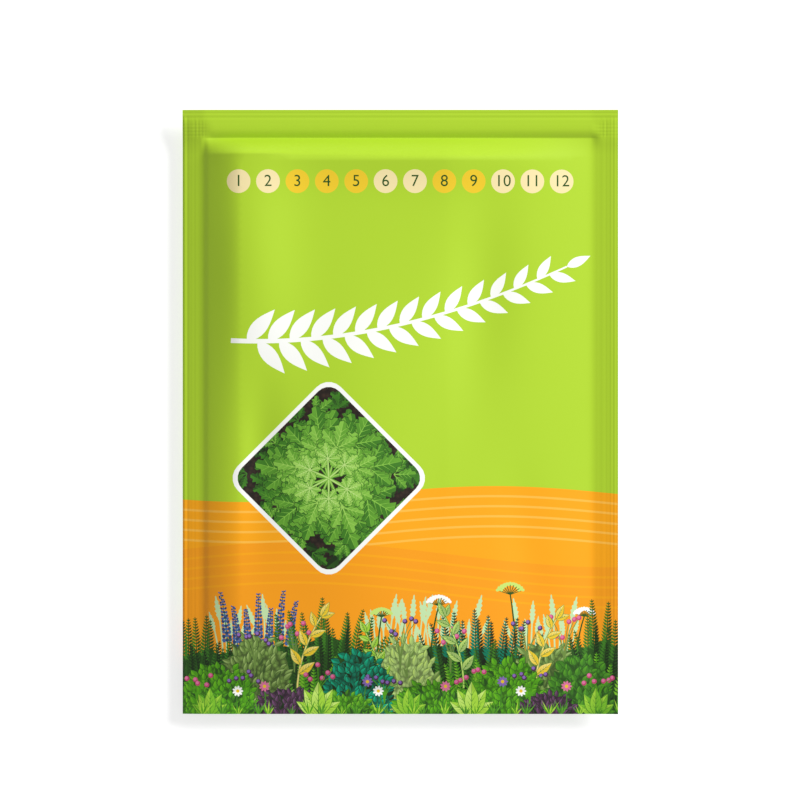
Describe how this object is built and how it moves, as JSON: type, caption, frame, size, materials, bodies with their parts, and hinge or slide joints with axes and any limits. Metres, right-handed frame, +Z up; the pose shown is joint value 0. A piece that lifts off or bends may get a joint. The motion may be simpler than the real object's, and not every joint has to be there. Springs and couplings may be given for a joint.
{
  "type": "seed packet",
  "caption": "Flat sachet of glossy printed film, heat-sealed with ribbed bands on all four sides round a charge of parsley seeds, lying on its back.",
  "frame": {"origin": "on the surface that the packet lies on, under the middle of the packet", "axes": "+X to the right and +Y to the top edge as seen from the printed front, +Z up out of the printed front"},
  "size_m": [0.0824, 0.1144, 0.0077],
  "materials": {
    "front_film": "satin-gloss printed laminate film, lime green with an amber lower band",
    "back_film": "satin-gloss printed laminate film, pale lime",
    "seeds": "dry, ribbed, matt seed husk"
  },
  "bodies": {
    "root": {"front_film": "front_film", "back_film": "back_film", "seeds": "seeds"}
  },
  "joints": []
}
